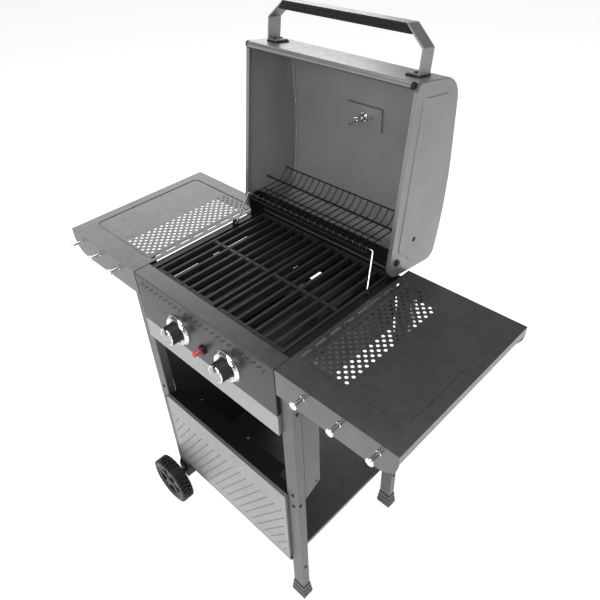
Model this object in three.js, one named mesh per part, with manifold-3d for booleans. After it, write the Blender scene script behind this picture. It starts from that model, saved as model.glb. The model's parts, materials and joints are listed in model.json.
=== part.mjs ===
// Two-burner gas barbecue on a wheeled cart, lid open. Millimetres, +Z up, the user stands at -Y.
// The origin is on the ground, midway between the side tables' ends and midway through the depth.
import * as THREE from "three";
import { mergeVertices } from "three/addons/utils/BufferGeometryUtils.js";
import Module from "manifold-3d";

const wasm = await Module();
wasm.setup();

// ---------------------------------------------------------------- driving dimensions
const GAP = 0.3; // free space kept between touching pieces
const SHEET = 2; // folded steel sheet
const THIN = 1.5; // lid and flame tamer sheet

const TABLE = { top: 848, end: 502, inner: 226, halfDepth: 202.5, apron: 65, lip: 20, corner: 43 };
const RECESS = { inner: 247, outer: 474, front: -148, rear: 166, depth: 1, radius: 12 };
const SLOT = { x: 239, first: -147, pitch: 41, length: 29, width: 5, count: 8 };
const HOOK = { x: [296, 380, 464], z: 826, length: 26, rod: 4, head: 10, headDepth: 3 };

const BOX = { half: 208, flange: 224.1, front: -160, rear: 180, floor: 688, flangeTop: 844 };
const BACK = { top: 897, half: 214 }; // rear wall, which rises behind the grates
const EAR = { top: 904, front: 138, notch: 146 };
const LEDGE = { top: 834, front: -148, rear: 162 };
const RAIL_REAR = -162;
const PANEL = { half: 223.6, front: -202.5, bottom: 659, fold: 15 };
const KNOB = { x: 82, z: 760, radius: 22.4, length: 28, back: -207.5, push: 4 };
const IGNITER_Z = 753;

const GRATE = { top: 842, bars: 8, first: 9, pitch: 27, bar: 7, depth: 14, front: -156, rear: 174 };
const BURNER = { radius: 14, wall: 1.5, front: -150, rear: 150 };

const MID_DEPTH = 37.75; // halfway between the wheels' front and the open lid's back
const LEG = { inner: 224.4, outer: 259.4, near: 172, far: 194, wall: 2 };
const LEG_TOP = TABLE.top - SHEET - GAP;
const FOOT = { height: 48, step: 15, floor: 12, flare: 5 };
const AXLE = { x: -250, z: 75, radius: 5, end: 253 };
const WHEEL = { radius: 75, near: 216, far: 254, bore: 5.4, hub: 13 };
const SHELF = { top: 165, drop: 12, half: 223.9, front: -198.8, rear: 190 };
const APRON_PANEL = { bottom: 172, top: 442, depth: 9.5 };

const SIDE_PANEL = { near: 224.4, halfDepth: 171.4, bottom: 160, top: 780 };

const HINGE = { y: 157.3, z: 890.6, bolt: 4 };
const OPEN_ANGLE = THREE.MathUtils.degToRad(97.5);
const LID = { half: 223.6, front: -361.3, bottom: -23, hem: -19, slope: 0.175, flange: 7.6 };
const LIP = { half: 217, y: -357, z: -25.7, radius: 6.8, cap: 7.2, capLength: 5.5 };
const HANDLE = { z: 31.3, width: 36, bar: 3, half: 195, bend: 48, gripHalf: 155, reach: 82.5 };
const GRIP = { half: 20.4, depth: 17, groove: 1.2 };
const PLATE = { y: -229, width: 97, height: 51, depth: 5.5 }; // recess in the lid that holds the gauge

const RACK = { frontY: 119, frontZ: 925, pivotY: 212, pivotZ: 923, half: 178, wires: 20, wire: 2.6 };
const ARM = { baseX: 206.5, baseY: 83, baseZ: 847, topX: 190, radius: 2 };

const COLOUR = {
  charcoal: 0x4a4a4c,
  grey: 0x8c8c8e,
  silver: 0xb9b9bb,
  enamel: 0x161617,
  iron: 0x202022,
  plastic: 0x1b1b1d,
  steel: 0xc4c6c8,
  red: 0xc01824,
  brass: 0xb08d4a,
};

// ---------------------------------------------------------------- geometry helpers
function toSolid(geometry) {
  const bare = geometry.index ? geometry.toNonIndexed() : geometry.clone();
  bare.deleteAttribute("normal");
  bare.deleteAttribute("uv");
  const merged = mergeVertices(bare, 1e-4);
  const vertProperties = merged.attributes.position.array;
  const triVerts = new Uint32Array(merged.index.array);
  return new wasm.Manifold(new wasm.Mesh({ numProp: 3, vertProperties, triVerts }));
}

function toGeometry(solid) {
  const mesh = solid.getMesh();
  const geometry = new THREE.BufferGeometry();
  geometry.setAttribute("position", new THREE.Float32BufferAttribute(mesh.vertProperties, 3));
  geometry.setIndex(Array.from(mesh.triVerts));
  geometry.computeVertexNormals();
  return geometry;
}

function join(...geometries) {
  return toGeometry(geometries.map(toSolid).reduce((whole, piece) => whole.add(piece)));
}

function cut(geometry, ...tools) {
  return toGeometry(tools.map(toSolid).reduce((left, tool) => left.subtract(tool), toSolid(geometry)));
}

// A box between two opposite corners.
function block(low, high) {
  const size = high.map((value, axis) => value - low[axis]);
  const centre = high.map((value, axis) => (value + low[axis]) / 2);
  return new THREE.BoxGeometry(...size).translate(...centre);
}

// A straight round bar from one point to another.
function rod(from, to, radius, sides = 12) {
  const start = new THREE.Vector3(...from);
  const along = new THREE.Vector3(...to).sub(start);
  const turn = new THREE.Quaternion().setFromUnitVectors(
    new THREE.Vector3(0, 1, 0),
    along.clone().normalize(),
  );
  const middle = start.addScaledVector(along, 0.5);
  return new THREE.CylinderGeometry(radius, radius, along.length(), sides)
    .applyQuaternion(turn)
    .translate(middle.x, middle.y, middle.z);
}

const toShape = (outline) => new THREE.Shape(outline.map(([u, v]) => new THREE.Vector2(u, v)));

function extrude(outline, depth) {
  const shape = outline.isShape ? outline : toShape(outline);
  return new THREE.ExtrudeGeometry(shape, { depth, bevelEnabled: false, curveSegments: 6 });
}

// Prisms of an outline in (y, z), (x, z) and (x, y), each along the third axis.
function prismX(outline, x0, x1) {
  const basis = new THREE.Matrix4().set(0, 0, 1, x0, 1, 0, 0, 0, 0, 1, 0, 0, 0, 0, 0, 1);
  return extrude(outline, x1 - x0).applyMatrix4(basis);
}

function prismY(outline, y0, y1) {
  const basis = new THREE.Matrix4().set(1, 0, 0, 0, 0, 0, -1, y1, 0, 1, 0, 0, 0, 0, 0, 1);
  return extrude(outline, y1 - y0).applyMatrix4(basis);
}

function prismZ(outline, z0, z1) {
  return extrude(outline, z1 - z0).translate(0, 0, z0);
}

// A solid of revolution about Y, from a profile of [radius, y] points that closes on itself.
function turned(profile, segments = 24) {
  const points = profile.map(([r, y]) => new THREE.Vector2(r, y));
  if (THREE.ShapeUtils.isClockWise(points)) points.reverse();
  return new THREE.LatheGeometry([...points, points[0]], segments);
}

// A run of points moved sideways, to the left of its direction when the distance is positive.
function offset(points, distance) {
  return points.map((point, index) => {
    const before = points[Math.max(index - 1, 0)];
    const after = points[Math.min(index + 1, points.length - 1)];
    const unit = (a, b) => new THREE.Vector2(b[0] - a[0], b[1] - a[1]).normalize();
    const first = index === 0 ? unit(point, after) : unit(before, point);
    const last = index === points.length - 1 ? first : unit(point, after);
    const bisector = first.clone().add(last).normalize();
    const reach = distance / Math.max(bisector.dot(first), 0.3);
    return [point[0] - bisector.y * reach, point[1] + bisector.x * reach];
  });
}

// The outline of a strip of even thickness whose middle line is a run of points.
function strip(points, thickness) {
  return [...offset(points, -thickness / 2), ...offset(points, thickness / 2).reverse()];
}

// Points of an arc, angles in degrees.
function arc(u, v, radius, from, to, steps) {
  return Array.from({ length: steps + 1 }, (_, index) => {
    const angle = THREE.MathUtils.degToRad(from + ((to - from) * index) / steps);
    return [u + radius * Math.cos(angle), v + radius * Math.sin(angle)];
  });
}

function roundedRectangle(u0, v0, u1, v1, radius, steps = 3) {
  return [
    ...arc(u1 - radius, v1 - radius, radius, 0, 90, steps),
    ...arc(u0 + radius, v1 - radius, radius, 90, 180, steps),
    ...arc(u0 + radius, v0 + radius, radius, 180, 270, steps),
    ...arc(u1 - radius, v0 + radius, radius, 270, 360, steps),
  ];
}

// A geometry mirrored in x = 0 or y = 0, with its faces still pointing out.
function mirrored(geometry, axis) {
  const scale = axis === "x" ? [-1, 1, 1] : [1, -1, 1];
  const flipped = (geometry.index ? geometry.toNonIndexed() : geometry.clone()).scale(...scale);
  const position = flipped.attributes.position;
  for (let i = 0; i < position.count; i += 3) {
    const second = new THREE.Vector3().fromBufferAttribute(position, i + 1);
    const third = new THREE.Vector3().fromBufferAttribute(position, i + 2);
    position.setXYZ(i + 1, third.x, third.y, third.z);
    position.setXYZ(i + 2, second.x, second.y, second.z);
  }
  flipped.computeVertexNormals();
  return flipped;
}

const barbecue = new THREE.Group(); // about the firebox's middle, moved to the origin at the end
const lid = new THREE.Group(); // modelled closed, about the hinge axis
lid.position.set(0, HINGE.y, HINGE.z);
lid.rotation.x = -OPEN_ANGLE;
barbecue.add(lid);

function add(name, geometry, colour, roughness, metalness, parent = barbecue) {
  const material = new THREE.MeshStandardMaterial({ color: colour, roughness, metalness });
  const mesh = new THREE.Mesh(geometry, material);
  mesh.name = name;
  parent.add(mesh);
  return mesh;
}

const paint = (name, geometry, colour, parent) => add(name, geometry, colour, 0.5, 0.3, parent);
const chrome = (name, geometry, parent) => add(name, geometry, COLOUR.steel, 0.15, 1, parent);
const plastic = (name, geometry, parent) => add(name, geometry, COLOUR.plastic, 0.5, 0, parent);

// Right-hand geometry as it is, or mirrored for the left-hand piece.
const handed = (side, geometry) => (side === "right" ? geometry : mirrored(geometry, "x"));
const SIDES = ["left", "right"];

// ---------------------------------------------------------------- cart
function rectangularTube(bottom) {
  const { inner, outer, near, far, wall } = LEG;
  return cut(
    block([inner, near, bottom], [outer, far, LEG_TOP]),
    block([inner + wall, near + wall, bottom - 1], [outer - wall, far - wall, LEG_TOP + 1]),
  );
}

// Square cap with a stepped, flared base, which the leg stands in.
function footCap() {
  const { inner, outer, near, far } = LEG;
  const ring = (grow, z0, z1) =>
    block([inner - grow, near - grow, z0], [outer + grow, far + grow, z1]);
  return cut(
    join(ring(2, FOOT.step, FOOT.height), ring(3.5, FOOT.step, 30), ring(FOOT.flare, 0, FOOT.step)),
    ring(GAP, FOOT.floor, FOOT.height + 1),
  );
}

// Cap on a left leg's end that carries the axle; made on the +x, +y side and mirrored into place.
function axleBracket() {
  const { inner, outer, near, far } = LEG;
  return cut(
    join(
      block([inner + 4, near - 4, 64], [outer + 4, far + 4, 100]),
      block([inner - 4, near - 4, 92], [outer + 4, far + 4, 110]),
      block([inner - 2, near - 2, 110], [outer + 2, far + 2, 122]),
    ),
    block([inner - GAP, near - GAP, 96], [outer + GAP, far + GAP, 123]),
    rod([-AXLE.x, near - 10, AXLE.z], [-AXLE.x, far + 10, AXLE.z], AXLE.radius + GAP),
  );
}

function wheel() {
  const { radius, near, far, bore, hub } = WHEEL;
  const middle = (near + far) / 2;
  const half = (far - near) / 2;
  const disc = turned([
    [bore, middle - hub],
    [16, middle - hub],
    [16, middle - 7],
    [50, middle - 7],
    [50, middle - half],
    [68, middle - half],
    [radius, middle - half + 5],
    [radius, middle + half - 5],
    [68, middle + half],
    [50, middle + half],
    [50, middle + 7],
    [16, middle + 7],
    [16, middle + hub],
    [bore, middle + hub],
  ], 32);
  const windows = Array.from({ length: 5 }, (_, index) => {
    const centre = (index * 2 * Math.PI) / 5 + Math.PI / 2;
    const at = (r, spread) => [r * Math.cos(centre + spread), r * Math.sin(centre + spread)];
    return prismY([at(22, -0.3), at(45, -0.42), at(45, 0.42), at(22, 0.3)], near, far);
  });
  return cut(disc, ...windows).translate(AXLE.x, 0, AXLE.z);
}

// Axle with a press-on cap outside each wheel and a collar inside it.
function axle() {
  const { end, radius } = AXLE;
  const middle = (WHEEL.near + WHEEL.far) / 2;
  const cap = middle + WHEEL.hub + GAP;
  const collar = middle - WHEEL.hub - GAP;
  const half = [
    [radius, collar - 4],
    [9, collar - 4],
    [9, collar],
    [radius, collar],
    [radius, cap],
    [9, cap],
    [7, end],
    [0, end],
  ];
  const mirror = half.map(([r, y]) => [r, -y]).reverse();
  return turned([...mirror, ...half], 16).translate(AXLE.x, 0, AXLE.z);
}

function shelf() {
  const { half, front, rear, top, drop } = SHELF;
  return cut(
    block([-half, front, top - drop], [half, rear, top]),
    block([-half + SHEET, front + SHEET, top - drop - 1], [half - SHEET, rear - SHEET, top - SHEET]),
  );
}

// Shallow tray of sheet, open at the back.
function frontPanel() {
  const { bottom, top, depth } = APRON_PANEL;
  const half = SHELF.half;
  const face = PANEL.front;
  return cut(
    block([-half, face, bottom], [half, face + depth, top]),
    block([-half + SHEET, face + SHEET, bottom + SHEET], [half - SHEET, face + depth + 1, top - SHEET]),
  );
}

// Shelf-like cross member behind the top of the front panel.
function frontBrace() {
  const half = SHELF.half;
  const front = PANEL.front + APRON_PANEL.depth + 0.5;
  return join(
    block([-half, front, 436], [half, -168, 438]),
    block([-170, -169, 436], [170, -141, 438]),
    block([-170, -143, 418], [170, -141, 438]),
  );
}

// Sheet that closes the cart's left side, between the legs.
function sidePanel() {
  const { near, halfDepth, bottom, top } = SIDE_PANEL;
  return block([-near - SHEET, -halfDepth, bottom], [-near, halfDepth, top]);
}

// Folded plate that ties a front leg to the firebox and carries the side table.
function sideBracket() {
  const { outer, near } = LEG;
  const rear = -near + GAP;
  const outline = [[rear, 437], [-124, 462], [-124, LEG_TOP], [rear, LEG_TOP]];
  return cut(
    join(
      prismX(outline, outer - SHEET, outer),
      block([240, rear, 437], [outer, rear + SHEET, LEG_TOP]),
    ),
    rod([outer - 5, -135, 469], [outer + 3, -135, 469], 3.5),
  );
}

function buildCart() {
  const right = rectangularTube(FOOT.floor + GAP);
  const left = mirrored(rectangularTube(96 + GAP), "x");
  paint("leg_rear_right", right, COLOUR.grey);
  paint("leg_front_right", mirrored(right, "y"), COLOUR.grey);
  paint("leg_rear_left", left, COLOUR.grey);
  paint("leg_front_left", mirrored(left, "y"), COLOUR.grey);
  plastic("foot_rear", footCap());
  plastic("foot_front", mirrored(footCap(), "y"));
  const bracket = mirrored(axleBracket(), "x");
  plastic("axle_bracket_rear", bracket);
  plastic("axle_bracket_front", mirrored(bracket, "y"));
  chrome("wheel_axle", axle());
  plastic("wheel_rear", wheel());
  plastic("wheel_front", mirrored(wheel(), "y"));
  paint("bottom_shelf", shelf(), COLOUR.charcoal);
  add("front_panel", frontPanel(), COLOUR.silver, 0.35, 0.7);
  paint("front_brace", frontBrace(), COLOUR.enamel);
  paint("side_panel_left", sidePanel(), COLOUR.enamel);
  for (const side of SIDES) paint(`side_bracket_${side}`, handed(side, sideBracket()), COLOUR.grey);
}

// ---------------------------------------------------------------- side tables
// Apron outline in (x, z): full depth at the firebox, its outer lower corner rounded up to the lip.
function apronOutline() {
  const { top, end, inner, apron, lip, corner } = TABLE;
  const bottom = top - apron;
  return [[inner, top], [inner, bottom], ...arc(end - corner, bottom + corner, corner, 270, 360, 5),
    [end, top - lip], [end, top]];
}

function sideTable() {
  const { top, end, inner, halfDepth, lip } = TABLE;
  const sheet = join(
    block([inner, -halfDepth, top - SHEET], [end, halfDepth, top]),
    block([end - SHEET, -halfDepth, top - lip], [end, halfDepth, top]),
    prismY(apronOutline(), -halfDepth, -halfDepth + SHEET),
    prismY(apronOutline(), halfDepth - SHEET, halfDepth),
  );
  const recess = roundedRectangle(RECESS.inner, RECESS.front, RECESS.outer, RECESS.rear, RECESS.radius);
  const slots = Array.from({ length: SLOT.count }, (_, index) => {
    const y = SLOT.first + index * SLOT.pitch;
    const half = SLOT.width / 2;
    const ends = roundedRectangle(SLOT.x - half, y, SLOT.x + half, y + SLOT.length, half * 0.98, 2);
    return prismZ(ends, top - 5, top + 1);
  });
  return cut(sheet, prismZ(recess, top - RECESS.depth, top + 1), ...slots);
}

// Round pin with a flat button head, pointing at the user.
function toolHook(x) {
  const root = TABLE.halfDepth + GAP;
  const tip = root + HOOK.length;
  return turned([
    [0, -tip],
    [HOOK.head - 2, -tip],
    [HOOK.head, -tip + 1],
    [HOOK.head, -tip + HOOK.headDepth],
    [HOOK.rod, -tip + HOOK.headDepth + 1],
    [HOOK.rod, -root],
    [0, -root],
  ], 16).translate(x, 0, HOOK.z);
}

function buildTables() {
  for (const side of SIDES) {
    paint(`side_table_${side}`, handed(side, sideTable()), COLOUR.charcoal);
    HOOK.x.forEach((x, index) => {
      chrome(`tool_hook_${side}_${index + 1}`, toolHook(side === "right" ? x : -x));
    });
  }
}

// ---------------------------------------------------------------- firebox
// One side of the firebox's fittings: wall, flange, hinge ear, arm lug and tray runner.
function fireboxSide() {
  const { half, flange, front, rear, floor, flangeTop } = BOX;
  const inside = half - SHEET;
  const earOutline = [[EAR.front, 842], [rear, 842], [rear, EAR.top - 12], [rear - 12, EAR.top],
    [EAR.notch + 4, EAR.top], [EAR.notch - 4, EAR.top - 6]];
  const lugOutline = [[74, 842], [92, 842], [92, 853], [88, 858], [78, 858], [74, 853]];
  return join(
    block([inside, front, floor], [half, rear, flangeTop]),
    block([inside, front, flangeTop - SHEET], [flange, rear, flangeTop]),
    prismX(earOutline, BACK.half - SHEET, BACK.half),
    prismX(lugOutline, half + 0.5, half + 2.5),
    block([130, -150, 676], [132, 176, floor + 1]),
    block([122, -150, 676], [132, 176, 678]),
  );
}

// Air vents and a lighting hole in a side wall, and the bores for the hinge bolt and swing arm.
function fireboxSideCuts() {
  const { half } = BOX;
  const vent = (y) => prismX(roundedRectangle(y, 772, y + 75, 799, 6, 2), half - 5, half + 5);
  return [
    vent(-119),
    vent(39),
    rod([half - 5, 12, 803], [half + 5, 12, 803], 12, 16),
    rod([half, HINGE.y, HINGE.z], [BACK.half + 5, HINGE.y, HINGE.z], HINGE.bolt + GAP),
    rod([half + 0.2, ARM.baseY, ARM.baseZ], [half + 4, ARM.baseY, ARM.baseZ], ARM.radius + 0.7),
  ];
}

function firebox() {
  const { half, flange, front, rear, floor, flangeTop } = BOX;
  const right = fireboxSide();
  const cuts = fireboxSideCuts();
  const shell = join(
    block([-half, front, floor], [half, rear, floor + SHEET]),
    block([-half, front, floor], [half, front + SHEET, flangeTop + 1.5]),
    block([-BACK.half, rear - SHEET, floor], [BACK.half, rear, BACK.top]),
    block([-flange, -200, flangeTop - 0.5], [flange, front + SHEET, flangeTop + 1.5]),
    block([-half, LEDGE.rear, LEDGE.top - SHEET], [half, rear, LEDGE.top]),
    block([-half, front, LEDGE.top - SHEET], [half, LEDGE.front, LEDGE.top]),
    right,
    mirrored(right, "x"),
  );
  const venturi = (x) => rod([x, front - 5, KNOB.z], [x, front + 5, KNOB.z], BURNER.radius - 1.5, 16);
  return cut(
    shell,
    ...cuts,
    ...cuts.map((tool) => mirrored(tool, "x")),
    block([-150, rear - 5, 702], [150, rear + 5, 741]),
    block([-60, -70, floor - 5], [60, 70, floor + 5]),
    venturi(KNOB.x),
    venturi(-KNOB.x),
  );
}

function frontRail() {
  const top = TABLE.top;
  return block([-BOX.flange, PANEL.front, top - SHEET], [BOX.flange, RAIL_REAR, top]);
}

function controlPanel() {
  const { half, front, bottom, fold } = PANEL;
  const top = TABLE.top - SHEET - GAP;
  const sheet = join(
    block([-half, front, bottom], [half, front + SHEET, top]),
    block([-half, front, bottom], [half, front + fold, bottom + SHEET]),
    block([-half, front, bottom], [-half + SHEET, front + fold + 15, top - 6]),
    block([half - SHEET, front, bottom], [half, front + fold + 15, top - 6]),
  );
  const hole = (x, z, radius) => rod([x, front - 3, z], [x, front + 5, z], radius, 16);
  return cut(sheet, hole(-KNOB.x, KNOB.z, 7), hole(KNOB.x, KNOB.z, 7), hole(0, IGNITER_Z, 8.5));
}

// One cast grate: parallel bars, a crown rib across the middle and a tie bar near each end.
function grate() {
  const { top, bars, first, pitch, bar, depth, front, rear } = GRATE;
  const last = first + (bars - 1) * pitch;
  const half = bar / 2;
  const pieces = Array.from({ length: bars }, (_, index) => {
    const x = first + index * pitch;
    return prismX([[front, top], [front, LEDGE.top + GAP], [LEDGE.front + 2, LEDGE.top + GAP],
      [LEDGE.front + 6, top - depth], [LEDGE.rear - 6, top - depth], [LEDGE.rear - 2, LEDGE.top + GAP],
      [rear, LEDGE.top + GAP], [rear, top]], x - half, x + half);
  });
  const tie = (start, end, under) => block([first - half, start, under], [last + half, end, top - 0.8]);
  return join(
    ...pieces,
    tie(front, front + 8, LEDGE.top + GAP),
    tie(1, 9, top - depth + 2),
    tie(rear - 8, rear, LEDGE.top + GAP),
  );
}

// Tent of stainless sheet over a burner.
function flameTamer(x) {
  const roof = strip([[x - 72, 760], [x - 66, 766], [x, 803], [x + 66, 766], [x + 72, 760]], THIN);
  const tent = prismY(roof, BOX.front + SHEET + 1, BOX.rear - SHEET - 1);
  const slots = [-110, -55, 0, 55, 110].flatMap((y) => [
    block([x - 45, y - 14, 770], [x - 38, y + 14, 790]),
    block([x + 38, y - 14, 770], [x + 45, y + 14, 790]),
  ]);
  return cut(tent, ...slots);
}

// Burner tube with a narrower venturi mouth that reaches out through the firebox's front wall.
function burner(x) {
  const { radius, wall, front, rear } = BURNER;
  const mouth = radius - 4;
  return turned([
    [mouth - wall, -184],
    [mouth, -184],
    [mouth, front],
    [radius, front + 8],
    [radius, rear],
    [0, rear],
    [0, rear - wall],
    [radius - wall, rear - wall],
    [radius - wall, front + 8],
    [mouth - wall, front],
  ], 16).translate(x, 0, KNOB.z);
}

function gasValve(x) {
  return join(
    block([x - 11, -196, 736], [x + 11, -188, 768]),
    rod([x, -189, KNOB.z], [x, -178, KNOB.z], 3, 8),
  );
}

// Supply pipe under the valves, with a hexagonal inlet at its right-hand end.
function gasManifold() {
  return join(
    rod([-110, -192, 728], [165, -192, 728], 7, 12),
    rod([155, -192, 728], [175, -192, 728], 8, 6),
    rod([174, -192, 728], [192, -192, 728], 6, 12),
  );
}

function valveStem(x) {
  return turned([[0, -224], [2.5, -224], [3, -223.5], [3, -196.4], [0, -196.4]], 12)
    .translate(x, 0, KNOB.z);
}

function knobBezel(x) {
  const face = PANEL.front - GAP;
  return turned([[25.6, face], [25.6, face - 3], [30.5, face - 8.5], [33, face - 8.5],
    [37.5, face - 3], [37.5, face]], 32).translate(x, 0, KNOB.z);
}

function knob(x) {
  const { radius, length, back } = KNOB;
  const face = back - length;
  return turned([
    [0, face],
    [radius - 3, face],
    [radius, face + 2.5],
    [radius - 1, back - 6],
    [radius + 0.8, back - 4],
    [radius + 0.8, back],
    [3.4, back],
    [3.4, back - 21.5],
    [0, back - 21.5],
  ], 28).translate(x, 0, KNOB.z);
}

function igniterBody() {
  const face = PANEL.front - GAP;
  return turned([
    [0, -165],
    [8, -165],
    [8, face],
    [11.2, face],
    [11.2, face - 4.5],
    [9.5, face - 6],
    [5.8, face - 6],
    [5.8, -186],
    [0, -186],
  ], 16).translate(0, 0, IGNITER_Z);
}

function igniterButton() {
  return turned([[0, -228], [4.5, -228], [5.5, -227], [5.5, -193], [0, -193]], 16)
    .translate(0, 0, IGNITER_Z);
}

// Shallow pan whose rims run on the firebox's runners; it pulls out towards the back.
function greaseTray() {
  const rim = 127.5;
  return cut(
    join(
      block([-118, -146, 670], [118, 176, 684]),
      block([-rim, -146, 680.5], [rim, 176, 682.5]),
      block([-70, 175, 668], [70, 184, 678]),
    ),
    block([-116, -144, 672], [116, 174, 690]),
    block([-60, 177, 667], [60, 185, 675.5]),
  );
}

// Bolt through the lid's end panel and the firebox's hinge ear, with a spacer between the two.
function hingeBolt() {
  const { y, z, bolt } = HINGE;
  const head = LID.half + GAP;
  return join(
    rod([204, y, z], [head + 2, y, z], bolt, 12),
    rod([205.5, y, z], [211.5, y, z], 7, 6),
    rod([BACK.half + GAP, y, z], [LID.half - THIN - GAP, y, z], 6, 12),
    rod([head, y, z], [head + 1.5, y, z], 8, 16),
    rod([head + 1, y, z], [head + 5, y, z], 6, 6),
  );
}

function buildFirebox() {
  add("firebox", firebox(), COLOUR.enamel, 0.4, 0.2);
  paint("front_rail", frontRail(), COLOUR.charcoal);
  add("control_panel", controlPanel(), COLOUR.grey, 0.4, 0.6);
  add("grate_right", grate(), COLOUR.iron, 0.7, 0.4);
  add("grate_left", mirrored(grate(), "x"), COLOUR.iron, 0.7, 0.4);
  chrome("gas_manifold", gasManifold());
  add("igniter_body", igniterBody(), COLOUR.plastic, 0.4, 0);
  add("igniter_button", igniterButton(), COLOUR.red, 0.3, 0);
  add("grease_tray", greaseTray(), COLOUR.silver, 0.4, 0.8);
  for (const side of SIDES) {
    const x = side === "right" ? KNOB.x : -KNOB.x;
    chrome(`flame_tamer_${side}`, flameTamer(x));
    chrome(`burner_${side}`, burner(x));
    add(`gas_valve_${side}`, gasValve(x), COLOUR.brass, 0.35, 1);
    chrome(`valve_stem_${side}`, valveStem(x));
    chrome(`knob_bezel_${side}`, knobBezel(x));
    plastic(`knob_${side}`, knob(x));
    chrome(`hinge_bolt_${side}`, handed(side, hingeBolt()));
  }
}

// ---------------------------------------------------------------- lid, closed, hinge at the origin
const TOP_BREAK = [-195, 139.3];
const topHeight = (y) => TOP_BREAK[1] + (y - TOP_BREAK[0]) * LID.slope;
const TILT = Math.atan(LID.slope);
const NOSE = 52; // radius between the lid's front and its top
const noseCentre = topHeight(LID.front + NOSE * (1 - Math.sin(TILT))) - NOSE * Math.cos(TILT);

// Middle line of the lid's sheet in (y, z), up the front face, over the top and down the back.
function lidLine() {
  return [
    [LID.front, LID.hem],
    ...arc(LID.front + NOSE, noseCentre, NOSE, 180, 90 + THREE.MathUtils.radToDeg(TILT), 8),
    TOP_BREAK,
    [-160, 143.8],
    [-125, 146.8],
    [-90, 148.4],
    [-50, 148.6],
    [-20, 147.2],
    ...arc(9.5, 119, 26, 93, 2, 7),
    [35.5, 40],
  ];
}

function lidShell() {
  const sheet = prismX(strip(lidLine(), THIN), -LID.half + 1.8, LID.half - 1.8);
  const { y, width, height } = PLATE;
  const window = block([-width / 2 + 2, -height / 2 + 2, -12], [width / 2 - 2, height / 2 - 2, 12])
    .rotateX(TILT)
    .translate(0, y, topHeight(y));
  return cut(sheet, window);
}

// End panel with a narrow flange turned inwards under the shell and along its lower edge.
function lidEnd() {
  const { half, front, hem, bottom, flange } = LID;
  const corner = arc(6, 6, 29, 0, -90, 5);
  const foot = [front + 14, bottom];
  const face = prismX([...lidLine(), ...corner, foot], half - THIN, half);
  const roof = offset([[front, hem + 6], ...lidLine().slice(1)], -THIN - GAP);
  const brim = offset([[34.9, 20], ...corner, foot], -THIN / 2);
  const rims = [roof, brim].map((line) => prismX(strip(line, THIN), half - THIN - flange, half - 0.5));
  const pivot = toLid(RACK.pivotY, RACK.pivotZ);
  return cut(
    join(face, ...rims),
    rod([half - 5, 0, 0], [half + 5, 0, 0], HINGE.bolt + GAP, 16),
    rod([half - 5, ...pivot], [half + 5, ...pivot], 3.2, 12),
  );
}

// Rolled bead along the front face's lower edge, with a plug in each end.
function lidLip() {
  const { half, y, z, radius, cap, capLength } = LIP;
  return join(
    rod([-half + 1, y, z], [half - 1, y, z], radius, 16),
    rod([-half, y, z], [capLength - half, y, z], cap, 16),
    rod([half - capLength, y, z], [half, y, z], cap, 16),
  );
}

// A point in (y, z) of the open lid, in the closed lid's own frame.
function toLid(y, z) {
  const turn = new THREE.Vector2(y - HINGE.y, z - HINGE.z).rotateAround(new THREE.Vector2(), OPEN_ANGLE);
  return [turn.x, turn.y];
}

// The handle in plan, as a strip in (x, y) that may be thicker than the bar itself.
function handlePlan(thickness) {
  const { bar, half, bend, gripHalf, reach } = HANDLE;
  const foot = 2.8 + bar / 2;
  const path = [[-170, foot], [-half, foot], [-half, bend], [-gripHalf, reach], [gripHalf, reach],
    [half, bend], [half, foot], [170, foot]];
  return strip(path, thickness).map(([x, out]) => [x, LID.front - 0.8 - out]);
}

function handleBar() {
  const { z, width, bar } = HANDLE;
  return prismZ(handlePlan(bar), z - width / 2, z + width / 2);
}

// Grip that lies behind the bar and wraps both of its long edges, with two grooves along each side.
function handleGrip() {
  const { z, width, bar, gripHalf, reach } = HANDLE;
  const { half, depth, groove } = GRIP;
  const face = LID.front - 0.8 - reach - bar / 2;
  const side = [[0, -half + 1], [1, -half], [4, -half], [5, -half + groove], [6.5, -half + groove],
    [7.5, -half], [10, -half], [11, -half + groove], [12.5, -half + groove], [13.5, -half],
    [depth - 2, -half], [depth, -half + 2]];
  const section = [...side, ...side.map(([out, v]) => [out, -v]).reverse()];
  const end = [[gripHalf - 2, face - 5], [gripHalf - 1, face], [gripHalf + 12, face + depth + 1],
    [gripHalf + 30, face + depth + 1], [gripHalf + 30, face - 5]];
  const wedge = prismZ(end, z - 30, z + 30);
  return cut(
    prismX(section.map(([out, v]) => [face + out, z + v]), -gripHalf - 20, gripHalf + 20),
    prismZ(handlePlan(bar + 2 * GAP), z - width / 2 - GAP, z + width / 2 + GAP),
    wedge,
    mirrored(wedge, "x"),
  );
}

// Everything of the gauge is made upright on its own axis, then set on the sloping lid.
function onPlate(geometry) {
  return geometry.rotateX(TILT).translate(0, PLATE.y, topHeight(PLATE.y));
}

function gaugePan() {
  const { width, height, depth } = PLATE;
  const top = -THIN / 2 - GAP;
  const pan = cut(
    block([-width / 2, -height / 2, top - depth], [width / 2, height / 2, top]),
    block([-width / 2 + 1.5, -height / 2 + 1.5, top - depth + 1.5], [width / 2 - 1.5, height / 2 - 1.5, top + 1]),
    rod([0, 0, -15], [0, 0, 0], 5.4, 12),
  );
  return onPlate(pan);
}

const upright = (profile, segments) => turned(profile, segments).rotateX(Math.PI / 2);

function thermometer() {
  const floor = -THIN / 2 - PLATE.depth + 1.5;
  return onPlate(upright([
    [0, floor + 12],
    [20, floor + 12],
    [21, floor + 14],
    [22.5, floor + 13],
    [22.5, floor + GAP],
    [5, floor + GAP],
    [5, floor - 14],
    [2.5, floor - 16],
    [2.5, floor - 59],
    [0, floor - 60],
  ], 24));
}

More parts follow.
